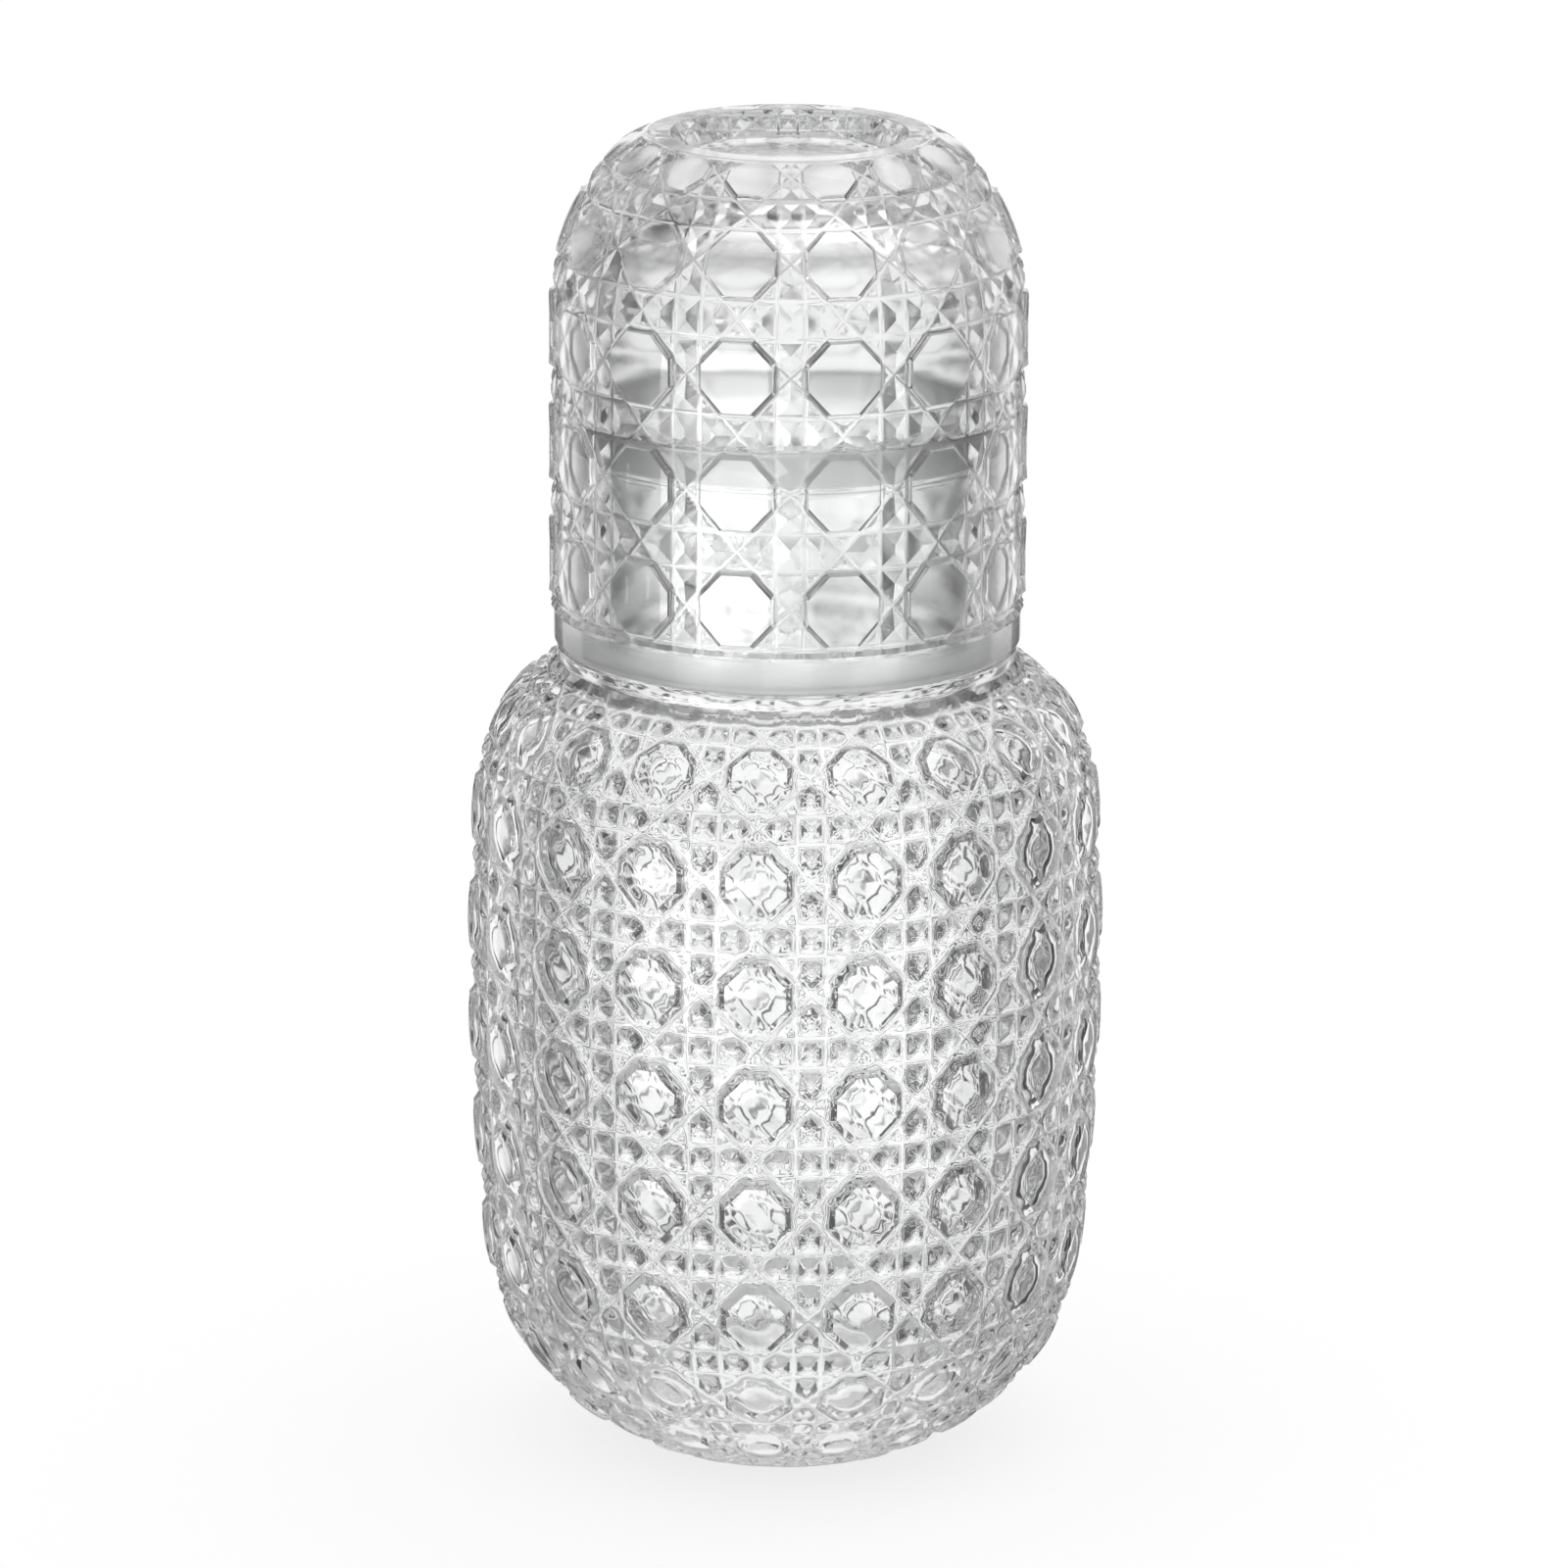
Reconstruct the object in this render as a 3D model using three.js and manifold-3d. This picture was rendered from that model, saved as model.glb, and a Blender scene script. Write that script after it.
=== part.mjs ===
// Glass carafe with a tumbler turned over its neck as a lid.
// Millimetres, +Z up, origin at the centre of the base.
// Both pieces are turned, and rows of flat octagons stand out from their walls between sunken strips.
import * as THREE from 'three';
import { mergeVertices } from 'three/addons/utils/BufferGeometryUtils.js';
import Module from 'manifold-3d';

// Driving dimensions of the carafe's outside
const BODY_RADIUS = 50; // widest ring of the body, over the octagons
const BELLY_HEIGHT = 77.5; // height of that ring above the base
const WALL_ARC_RADIUS = 435; // slight barrel shape of the wall
const BASE_RADIUS = 22; // flat foot that the carafe stands on
const BOTTOM_ARC_RADIUS = 37.3; // round corner between foot and wall
const SHOULDER_ARC_RADIUS = 25.5; // round corner between wall and collar
const SEAT_HEIGHT = 129; // flat top of the collar, where the tumbler rests
const COLLAR_RISE = 2.4; // height of the collar above the shoulder
const COLLAR_INSET = 0.6; // collar radius below the tumbler's rim radius
const NECK_RISE = 38; // neck top above the seat
const LIP_HEIGHT = 6; // thicker band at the neck's top
const LIP_STEP = 1.4; // how far the lip stands out from the neck
const LIP_ROUND = 1.2; // rounding of the lip's top edges

// Driving dimensions of the carafe's inside
const BODY_WALL = 3.6;
const NECK_WALL = 2.6;
const FLOOR_THICKNESS = 7;

// Driving dimensions of the tumbler, which is modelled as it stands on the carafe: mouth down, foot up
const TUMBLER_RADIUS = 37.05; // wall, over the octagons
const TUMBLER_HEIGHT = 80;
const RIM_INSET = 0.7; // plain rim band, set in from the octagons
const RIM_BAND_HEIGHT = 5.4;
const RIM_WALL = 2.5;
const RIM_ROUND = 0.8; // rounding of the rim's two edges
const DOME_ARC_RADIUS = 34.5; // round corner between wall and foot
const DOME_TOP_RADIUS = 25.8; // where that corner ends
const FOOT_OUTER_RADIUS = 22; // flat ring that the tumbler stands on when it is turned back
const FOOT_INNER_RADIUS = 18.4;
const FOOT_RISE = 1.4; // foot ring above the end of the round corner
const DISH_DEPTH = 3.8; // recess inside the foot ring
const DISH_FLOOR_RADIUS = 15.7;
const DISH_GLASS = 6.2; // glass between the recess and the inside
const INNER_DRAFT = 0.011; // inside narrows by this for each millimetre away from the mouth
const INNER_CORNER_RADIUS = 21;

// Fit of the tumbler over the neck
const NECK_CLEARANCE = 0.75; // gap around the lip, each side

// Cut relief. Octagons keep their share of a cell, which shrinks with the radius of the wall around it.
const CARAFE_COLUMNS = 18; // octagons around the carafe
const CARAFE_FIRST_COLUMN = THREE.MathUtils.degToRad(-95.3);
const CARAFE_ROW_PITCH = 17.81;
const CARAFE_ROW_HEIGHT = 67.3; // middle of one row, from which the others are counted
const CARAFE_STRIP_DEPTH = 0.7; // strips below the octagons' tops
const CARAFE_PLAIN_BOTTOM = 32; // radius of the bottom's plain middle
const TUMBLER_COLUMNS = 14;
const TUMBLER_FIRST_COLUMN = THREE.MathUtils.degToRad(-102.3);
const TUMBLER_ROW_PITCH = 18.03;
const TUMBLER_ROW_HEIGHT = 31.5; // above the rim
const TUMBLER_STRIP_DEPTH = 0.55;
const OCTAGON_TOP = 0.27; // half the width of an octagon's flat top, as a share of the row pitch
const OCTAGON_FOOT = 0.37; // half the width at the root of its sloping sides
const OCTAGON_ROOT = 1.6; // depth of that root below the top, inside the wall
const OCTAGON_MARGIN = 0.4; // share of a cell that a row needs clear of the relief's ends
const RELIEF_EDGE = 2; // length over which the strips run out at the ends of the relief

// Fineness of the solids
const CARAFE_SIDES = 2; // sides of the turned surfaces for each column of octagons
const TUMBLER_SIDES = 2;
const ARC_TOLERANCE = 0.17; // largest distance between an arc and its chords
const PATH_TOLERANCE = 0.005; // the same for the paths that octagons are set out on

// Shared sizes worked out from the driving dimensions
const RIM_RADIUS = TUMBLER_RADIUS - RIM_INSET;
const MOUTH_RADIUS = RIM_RADIUS - RIM_WALL;
const LIP_RADIUS = MOUTH_RADIUS - NECK_RISE * INNER_DRAFT - NECK_CLEARANCE;
const NECK_RADIUS = LIP_RADIUS - LIP_STEP;
const BORE_RADIUS = NECK_RADIUS - NECK_WALL;
const COLLAR_RADIUS = RIM_RADIUS - COLLAR_INSET;

// Points of an arc, close enough together to stay within the tolerance
function arc(centre, radius, startAngle, endAngle, tolerance = ARC_TOLERANCE) {
  const sweep = endAngle - startAngle;
  const chordAngle = 2 * Math.acos(1 - tolerance / radius);
  const steps = Math.max(2, Math.ceil(Math.abs(sweep) / chordAngle));
  return Array.from({ length: steps + 1 }, (_, i) => {
    const angle = startAngle + (sweep * i) / steps;
    return new THREE.Vector2(centre.x + radius * Math.cos(angle), centre.y + radius * Math.sin(angle));
  });
}

// Centre of a corner arc that blends into the wall arc and ends at a given point.
// It lies (wall radius - corner radius) from the wall arc's centre and one corner radius from the end point.
function cornerCentre(wallCentre, cornerRadius, endPoint, side) {
  const reach = WALL_ARC_RADIUS - cornerRadius;
  const toEnd = endPoint.clone().sub(wallCentre);
  const distance = toEnd.length();
  const along = (reach ** 2 - cornerRadius ** 2 + distance ** 2) / (2 * distance);
  const across = side * Math.sqrt(reach ** 2 - along ** 2);
  const unit = toEnd.normalize();
  const normal = new THREE.Vector2(-unit.y, unit.x);
  return wallCentre.clone().addScaledVector(unit, along).addScaledVector(normal, across);
}

const angleFrom = (centre, point) => Math.atan2(point.y - centre.y, point.x - centre.x);
const heightOnArc = (centre, radius, x) => centre.y + Math.sqrt(radius ** 2 - (x - centre.x) ** 2);
const point = (x, y) => new THREE.Vector2(x, y);

// The three arcs of the body: centres, and the angles where one passes into the next
function bodyArcs() {
  const baseEdge = point(BASE_RADIUS, 0);
  const collarFoot = point(COLLAR_RADIUS, SEAT_HEIGHT - COLLAR_RISE);
  const wall = point(BODY_RADIUS - WALL_ARC_RADIUS, BELLY_HEIGHT);
  const bottom = cornerCentre(wall, BOTTOM_ARC_RADIUS, baseEdge, 1);
  const shoulder = cornerCentre(wall, SHOULDER_ARC_RADIUS, collarFoot, -1);
  return {
    baseEdge, collarFoot, wall, bottom, shoulder,
    baseAngle: angleFrom(bottom, baseEdge),
    plainAngle: -Math.acos((CARAFE_PLAIN_BOTTOM - bottom.x) / BOTTOM_ARC_RADIUS),
    wallStart: angleFrom(wall, bottom),
    wallEnd: angleFrom(wall, shoulder),
    collarAngle: angleFrom(shoulder, collarFoot),
  };
}

// Path over the octagons of the body, from the plain bottom to the collar
function bodyPath() {
  const { wall, bottom, shoulder, plainAngle, wallStart, wallEnd, collarAngle } = bodyArcs();
  return [
    ...arc(bottom, BOTTOM_ARC_RADIUS, plainAngle, wallStart, PATH_TOLERANCE),
    ...arc(wall, WALL_ARC_RADIUS, wallStart, wallEnd, PATH_TOLERANCE).slice(1, -1),
    ...arc(shoulder, SHOULDER_ARC_RADIUS, wallEnd, collarAngle, PATH_TOLERANCE),
  ];
}

// Closed outline of the carafe at the level of the strips: base, outside, lip, inside and floor, from axis to axis
function carafeOutline() {
  const { collarFoot, wall, bottom, shoulder, baseAngle, plainAngle, wallStart, wallEnd, collarAngle } = bodyArcs();
  const lipTop = SEAT_HEIGHT + NECK_RISE;
  const lipFoot = lipTop - LIP_HEIGHT;
  const stripStart = plainAngle + RELIEF_EDGE / BOTTOM_ARC_RADIUS;
  const stripEnd = collarAngle - RELIEF_EDGE / SHOULDER_ARC_RADIUS;

  const innerBottomRadius = BOTTOM_ARC_RADIUS - BODY_WALL;
  const innerShoulderRadius = SHOULDER_ARC_RADIUS - BODY_WALL;
  const floorAngle = Math.asin((FLOOR_THICKNESS - bottom.y) / innerBottomRadius);
  const boreFoot = point(BORE_RADIUS, heightOnArc(shoulder, innerShoulderRadius, BORE_RADIUS));

  return [
    point(0, 0),
    ...arc(bottom, BOTTOM_ARC_RADIUS, baseAngle, plainAngle),
    ...arc(bottom, BOTTOM_ARC_RADIUS - CARAFE_STRIP_DEPTH, stripStart, wallStart),
    ...arc(wall, WALL_ARC_RADIUS - CARAFE_STRIP_DEPTH, wallStart, wallEnd).slice(1, -1),
    ...arc(shoulder, SHOULDER_ARC_RADIUS - CARAFE_STRIP_DEPTH, wallEnd, stripEnd),
    collarFoot,
    point(COLLAR_RADIUS, SEAT_HEIGHT),
    point(NECK_RADIUS, SEAT_HEIGHT),
    point(NECK_RADIUS, lipFoot - LIP_STEP),
    point(LIP_RADIUS, lipFoot),
    ...arc(point(LIP_RADIUS - LIP_ROUND, lipTop - LIP_ROUND), LIP_ROUND, 0, Math.PI / 2),
    ...arc(point(BORE_RADIUS + LIP_ROUND, lipTop - LIP_ROUND), LIP_ROUND, Math.PI / 2, Math.PI),
    ...arc(shoulder, innerShoulderRadius, angleFrom(shoulder, boreFoot), wallEnd),
    ...arc(wall, WALL_ARC_RADIUS - BODY_WALL, wallEnd, wallStart).slice(1, -1),
    ...arc(bottom, innerBottomRadius, wallStart, floorAngle),
    point(0, FLOOR_THICKNESS),
  ];
}

// The round corner between the tumbler's wall and its foot: centre, end point and the angle there
function domeArc() {
  const end = point(DOME_TOP_RADIUS, TUMBLER_HEIGHT - FOOT_RISE);
  const x = TUMBLER_RADIUS - DOME_ARC_RADIUS;
  const centre = point(x, end.y - Math.sqrt(DOME_ARC_RADIUS ** 2 - (DOME_TOP_RADIUS - x) ** 2));
  return { centre, end, endAngle: angleFrom(centre, end) };
}

// Path over the octagons of the tumbler, from the rim band to the foot
function tumblerPath() {
  const { centre, endAngle } = domeArc();
  return [
    point(TUMBLER_RADIUS, RIM_BAND_HEIGHT + RIM_INSET),
    ...arc(centre, DOME_ARC_RADIUS, 0, endAngle, PATH_TOLERANCE),
  ];
}

// Closed outline of the tumbler at the level of the strips, mouth down with its rim at height 0, from the
// inside's axis to the dish's axis
function tumblerOutline() {
  const dishFloor = TUMBLER_HEIGHT - DISH_DEPTH;
  const ceiling = dishFloor - DISH_GLASS;
  const cornerHeight = ceiling - INNER_CORNER_RADIUS;
  const cornerRadius = MOUTH_RADIUS - cornerHeight * INNER_DRAFT;
  const dome = domeArc();
  const stripRadius = TUMBLER_RADIUS - TUMBLER_STRIP_DEPTH;
  const stripEnd = dome.endAngle - RELIEF_EDGE / DOME_ARC_RADIUS;

  return [
    point(0, ceiling),
    ...arc(point(cornerRadius - INNER_CORNER_RADIUS, cornerHeight), INNER_CORNER_RADIUS, Math.PI / 2, 0),
    ...arc(point(MOUTH_RADIUS + RIM_ROUND, RIM_ROUND), RIM_ROUND, Math.PI, Math.PI * 1.5),
    ...arc(point(RIM_RADIUS - RIM_ROUND, RIM_ROUND), RIM_ROUND, -Math.PI / 2, 0),
    point(RIM_RADIUS, RIM_BAND_HEIGHT),
    point(stripRadius, RIM_BAND_HEIGHT + RIM_INSET),
    ...arc(dome.centre, DOME_ARC_RADIUS - TUMBLER_STRIP_DEPTH, 0, stripEnd),
    dome.end,
    point(FOOT_OUTER_RADIUS, TUMBLER_HEIGHT),
    point(FOOT_INNER_RADIUS, TUMBLER_HEIGHT),
    point(DISH_FLOOR_RADIUS, dishFloor),
    point(0, dishFloor),
  ];
}

// Middles of the rows along a path, with the outward direction there.
// Rows are one pitch apart where the path is widest, and closer in proportion where it draws in.
function rowPlaces(path, pitch, rowHeight) {
  const widest = Math.max(...path.map((place) => place.x));
  const rows = [0];
  let zero = 0;
  for (let i = 1; i < path.length; i += 1) {
    const radius = (path[i].x + path[i - 1].x) / 2;
    const step = (path[i].distanceTo(path[i - 1]) * widest) / (radius * pitch);
    rows.push(rows[i - 1] + step);
    if (path[i - 1].y <= rowHeight && rowHeight < path[i].y) {
      zero = rows[i - 1] + (step * (rowHeight - path[i - 1].y)) / (path[i].y - path[i - 1].y);
    }
  }
  const places = [];
  const last = Math.floor(rows.at(-1) - zero - OCTAGON_MARGIN);
  for (let row = Math.ceil(OCTAGON_MARGIN - zero); row <= last; row += 1) {
    const i = rows.findIndex((value) => value > row + zero);
    const middle = path[i - 1].clone().lerp(path[i], (row + zero - rows[i - 1]) / (rows[i] - rows[i - 1]));
    const along = path[i].clone().sub(path[i - 1]).normalize();
    places.push({ middle, out: point(along.y, -along.x), cell: (pitch * middle.x) / widest });
  }
  return places;
}

// Octagons of a relief, each an eight-sided frustum whose top touches the path and whose root is in the wall
function octagons(places, columns, firstColumn) {
  const cornerRatio = 1 / Math.cos(Math.PI / 8);
  return places.flatMap(({ middle, out, cell }) => Array.from({ length: columns }, (_, column) => {
    const top = OCTAGON_TOP * cell;
    const pad = new THREE.CylinderGeometry(top * cornerRatio, OCTAGON_FOOT * cell * cornerRatio, OCTAGON_ROOT, 8);
    pad.rotateY(Math.PI / 8);
    pad.translate(0, -OCTAGON_ROOT / 2, 0);
    pad.rotateX(Math.PI / 2);
    pad.rotateY(Math.atan2(out.x, out.y));
    pad.translate(middle.x, 0, middle.y);
    pad.rotateZ(firstColumn + (2 * Math.PI * column) / columns);
    return pad;
  }));
}

const wasm = await Module();
wasm.setup();

// Closed solid of a geometry, with its corners merged and the flat slivers at the poles left out
function solidOf(geometry) {
  const bare = geometry.clone();
  bare.deleteAttribute('normal');
  bare.deleteAttribute('uv');
  const merged = mergeVertices(bare, 1e-4);
  const corners = merged.index.array;
  const triangles = [];
  for (let i = 0; i < corners.length; i += 3) {
    const [a, b, c] = corners.slice(i, i + 3);
    if (a !== b && b !== c && c !== a) triangles.push(a, b, c);
  }
  return new wasm.Manifold(new wasm.Mesh({
    numProp: 3,
    vertProperties: new Float32Array(merged.attributes.position.array),
    triVerts: new Uint32Array(triangles),
  }));
}

// Turned solid about +Z, one of its sides' edges behind the first column, with its octagons joined on
function cutGlass(name, outline, sides, firstColumn, pads, material) {
  const turned = new THREE.LatheGeometry(outline, sides, firstColumn + Math.PI / 2);
  turned.rotateX(Math.PI / 2);
  const joined = pads.reduce((solid, pad) => solid.add(solidOf(pad)), solidOf(turned)).getMesh();
  const geometry = new THREE.BufferGeometry();
  geometry.setAttribute('position', new THREE.BufferAttribute(joined.vertProperties, joined.numProp));
  geometry.setIndex(new THREE.BufferAttribute(joined.triVerts, 1));
  geometry.computeVertexNormals();
  const mesh = new THREE.Mesh(geometry, material);
  mesh.name = name;
  return mesh;
}

const blownGlass = new THREE.MeshStandardMaterial({ color: 0xf3f6f6, roughness: 0.06, metalness: 0 });
const pressedGlass = new THREE.MeshStandardMaterial({ color: 0xf6f8f8, roughness: 0.03, metalness: 0 });

const bodyRows = rowPlaces(bodyPath(), CARAFE_ROW_PITCH, CARAFE_ROW_HEIGHT);
const tumblerRows = rowPlaces(tumblerPath(), TUMBLER_ROW_PITCH, TUMBLER_ROW_HEIGHT);
const bodyOctagons = octagons(bodyRows, CARAFE_COLUMNS, CARAFE_FIRST_COLUMN);
const tumblerOctagons = octagons(tumblerRows, TUMBLER_COLUMNS, TUMBLER_FIRST_COLUMN);

const bodySides = CARAFE_COLUMNS * CARAFE_SIDES;
const tumblerSides = TUMBLER_COLUMNS * TUMBLER_SIDES;

const carafe = cutGlass('carafe', carafeOutline(), bodySides, CARAFE_FIRST_COLUMN, bodyOctagons, blownGlass);
const tumbler = cutGlass('tumbler', tumblerOutline(), tumblerSides, TUMBLER_FIRST_COLUMN, tumblerOctagons, pressedGlass);
tumbler.position.z = SEAT_HEIGHT;

const set = new THREE.Group();
set.add(carafe, tumbler);

export default set;
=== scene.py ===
# Looks of a cane-cut glass carafe whose tumbler is turned over the neck as a lid.
import math

import bpy
import numpy as np
from mathutils import Matrix, Vector


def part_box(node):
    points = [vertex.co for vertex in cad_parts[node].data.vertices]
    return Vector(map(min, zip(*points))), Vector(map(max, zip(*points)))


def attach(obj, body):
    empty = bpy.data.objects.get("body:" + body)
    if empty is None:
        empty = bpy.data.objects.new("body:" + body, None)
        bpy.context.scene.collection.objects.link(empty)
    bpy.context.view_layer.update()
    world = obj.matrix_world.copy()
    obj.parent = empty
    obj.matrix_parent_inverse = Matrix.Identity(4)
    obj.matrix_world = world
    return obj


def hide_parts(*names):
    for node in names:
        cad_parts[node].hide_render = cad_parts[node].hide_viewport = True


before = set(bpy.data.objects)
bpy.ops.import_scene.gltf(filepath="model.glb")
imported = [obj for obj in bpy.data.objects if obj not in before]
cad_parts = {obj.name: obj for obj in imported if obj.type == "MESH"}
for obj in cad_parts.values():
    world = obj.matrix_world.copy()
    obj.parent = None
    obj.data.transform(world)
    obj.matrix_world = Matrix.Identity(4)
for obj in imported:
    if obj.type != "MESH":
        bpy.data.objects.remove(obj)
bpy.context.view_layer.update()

# Millimetres, turned into metres when a mesh is made
MM = 0.001

# Sizes that the solids give
carafe_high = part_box("carafe")[1]
tumbler_low, tumbler_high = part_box("tumbler")
LIP_TOP = carafe_high.z / MM
SEAT_HEIGHT = tumbler_low.z / MM
TUMBLER_HEIGHT = (tumbler_high.z - tumbler_low.z) / MM

# Outside of the carafe, measured over the middles of the octagons
BODY_RADIUS = 50.0
BELLY_HEIGHT = 77.5
WALL_ARC_RADIUS = 435.0
BASE_RADIUS = 22.0
BOTTOM_ARC_RADIUS = 37.3
SHOULDER_ARC_RADIUS = 25.5
COLLAR_RISE = 2.4
COLLAR_INSET = 0.6
LIP_HEIGHT = 6.0
LIP_STEP = 1.4
SEAT_GAP = 0.15
COLLAR_EDGE = 0.6
SEAT_FILLET = 1.2
LIP_UNDERCUT = 2.0
LIP_LOWER_EDGE = 0.8
LIP_TOP_EDGE = 1.2
BASE_EDGE_INSET = 0.8

# Inside of the carafe
BODY_WALL = 3.6
NECK_WALL = 2.6
FLOOR_THICKNESS = 7.0
FLOOR_EDGE_INSET = 1.2
BORE_FILLET = 2.2
BORE_TURN_RISE = 0.6

# Least room between the part of the inside that follows the body and the floor, and the bore
INNER_FLOOR_ROOM = 0.3
INNER_BORE_ROOM = 2.5

# Tumbler, mouth down
TUMBLER_RADIUS = 37.05
RIM_INSET = 0.7
RIM_BAND_HEIGHT = 5.4
RIM_WALL = 2.5
RIM_INNER_EDGE = 0.9
RIM_OUTER_EDGE = 1.1
BAND_EDGE = 0.3
DOME_ARC_RADIUS = 34.5
DOME_TOP_RADIUS = 25.8
FOOT_OUTER_RADIUS = 22.0
FOOT_INNER_RADIUS = 18.4
FOOT_RISE = 1.4
FOOT_BLEND_RADIUS = 12.0
FOOT_MARGIN = 0.6
FOOT_OUTER_EDGE = 1.2
FOOT_INNER_EDGE = 0.5
DISH_DEPTH = 3.8
DISH_FLOOR_RADIUS = 15.7
DISH_GLASS = 6.2
DISH_EDGE = 0.6
INNER_DRAFT = 0.011
INNER_CORNER_RADIUS = 21.0
NECK_CLEARANCE = 0.75

# Steps on arcs: dense ones that the rows are read from, and those that become rings
PATH_STEPS = 400
BLEND_STEPS = 200
NECK_EDGE_STEPS = 3
RIM_EDGE_STEPS = 6
INNER_CORNER_STEPS = 24

# Radius of the ring that a flat disc has inside its edge, as a share of the edge's
DISC_RING = 0.5

# Least room between a relief's end and the next row of points, as a share of a step
ROW_END_ROOM = 0.3

# Sizes that follow from those above
NECK_RISE = LIP_TOP - SEAT_HEIGHT
RIM_RADIUS = TUMBLER_RADIUS - RIM_INSET
MOUTH_RADIUS = RIM_RADIUS - RIM_WALL
LIP_RADIUS = MOUTH_RADIUS - NECK_RISE * INNER_DRAFT - NECK_CLEARANCE
NECK_RADIUS = LIP_RADIUS - LIP_STEP
BORE_RADIUS = NECK_RADIUS - NECK_WALL
COLLAR_RADIUS = RIM_RADIUS - COLLAR_INSET

# Cane relief of the carafe: columns round it, one row of octagons for each pitch up the wall.
# Each cell is divided into even steps, and widths across the surface are shares of a cell.
CARAFE_COLUMNS = 18
CARAFE_COLUMN_ANGLE = math.radians(-95.3)
CARAFE_ROW_PITCH = 17.81
CARAFE_ROW_HEIGHT = 67.3
CARAFE_STEPS = 22
CARAFE_HALF_STRIP = 3 / CARAFE_STEPS
CARAFE_DEPTH = 1.5
CARAFE_BEVEL = 2 / CARAFE_STEPS
CARAFE_MOUND = 0.13
CARAFE_MOUND_HEIGHT = 0.6
CARAFE_CROWN = 0.35
CARAFE_SHARP_ANGLE = math.radians(25)

# Rows over which the cuts fade in above the base's edge, and fade out below the collar
CARAFE_FADE_IN = 0.6
CARAFE_FADE_OUT = 0.12

# Rows above the base's edge in which the relief is small and shallow, and the grid half as fine. They end
# on a whole multiple of these steps.
CARAFE_COARSE_ROWS = 1.5
CARAFE_COARSE_MULTIPLE = 4

# The inside follows the relief softly, as in a blown piece, on a grid half as fine
CARAFE_INNER_DEPTH = 0.8
CARAFE_INNER_EDGE = (0.02, 0.2)

# Rows above the base's edge between which the inside's relief sets in, and rows over which it ends at
# its top
CARAFE_INNER_FADE_IN = (1.2, 2.2)
CARAFE_INNER_FADE_OUT = 0.4

# Share of the relief's height below which a point counts as the bottom of a cut, which the mould leaves
# round
CUT_BOTTOM = 0.02

# Roughness of the faces that the mould's plunger and the grinding of the lip leave less bright, how far
# below the lip's radius a ring still counts as its face, and how many rings of the rim's inner edge are dull
CARAFE_INNER_SATIN = 0.06
TUMBLER_INNER_SATIN = 0.14
LIP_SATIN = 0.55
LIP_FACE_DEPTH = 0.1
RIM_SATIN = 0.5
RIM_SATIN_RINGS = 4

# Cane relief of the tumbler
TUMBLER_COLUMNS = 14
TUMBLER_COLUMN_ANGLE = math.radians(-102.3)
TUMBLER_ROW_PITCH = 18.03
TUMBLER_ROW_HEIGHT = 160.5
TUMBLER_STEPS = 30
TUMBLER_HALF_STRIP_ACROSS = 4 / TUMBLER_STEPS
TUMBLER_HALF_STRIP_UP = 5 / TUMBLER_STEPS
TUMBLER_DEPTH = 0.9
TUMBLER_BEVEL = 1 / TUMBLER_STEPS
TUMBLER_POINT = 0.18
TUMBLER_SHARP_ANGLE = math.radians(11)

# Rows over which the cuts start above the rim band, on either side of the first row, and fade out at the
# foot
TUMBLER_FADE_IN = 0.05
TUMBLER_FADE_OUT = 0.1


def arc(centre, radius, start, end, steps):
    """Points on a circle: the centre plus the radius times (cosine, sine) of evenly spaced angles."""
    angle = np.linspace(start, end, steps + 1)
    return np.column_stack((centre[0] + radius * np.cos(angle), centre[1] + radius * np.sin(angle)))


def rounded(corners, steps):
    """Path through (radius, height, rounding) corners: each becomes an arc that touches both its sides.

    The arc starts and ends rounding * tan(turn / 2) from the corner, and its centre lies on the bisector.
    """
    corners = np.array(corners, float)
    pieces = [corners[:1, :2]]
    for before, here, after in zip(corners[:-2], corners[1:-1], corners[2:]):
        arrive = (here[:2] - before[:2]) / np.linalg.norm(here[:2] - before[:2])
        leave = (after[:2] - here[:2]) / np.linalg.norm(after[:2] - here[:2])
        turn = math.atan2(arrive[0] * leave[1] - arrive[1] * leave[0], arrive @ leave)
        start = here[:2] - arrive * here[2] * abs(math.tan(turn / 2))
        side = math.copysign(1.0, turn)
        centre = start + side * here[2] * np.array((-arrive[1], arrive[0]))
        first = math.atan2(start[1] - centre[1], start[0] - centre[0])
        pieces.append(arc(centre, here[2], first, first + turn, steps))
    pieces.append(corners[-1:, :2])
    return np.concatenate(pieces)


def corner_centre(wall_centre, corner_radius, end_point, side):
    """Centre of a corner arc that blends into the wall arc and ends at a given point.

    It lies (wall radius - corner radius) from the wall arc's centre and one corner radius from the end point.
    """
    reach = WALL_ARC_RADIUS - corner_radius
    to_end = end_point - wall_centre
    distance = np.linalg.norm(to_end)
    along = (reach ** 2 - corner_radius ** 2 + distance ** 2) / (2 * distance)
    across = side * math.sqrt(reach ** 2 - along ** 2)
    unit = to_end / distance
    return wall_centre + unit * along + np.array((-unit[1], unit[0])) * across


def angle_from(centre, point):
    """Direction from one point of the outline's plane to another."""
    return math.atan2(point[1] - centre[1], point[0] - centre[0])


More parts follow.
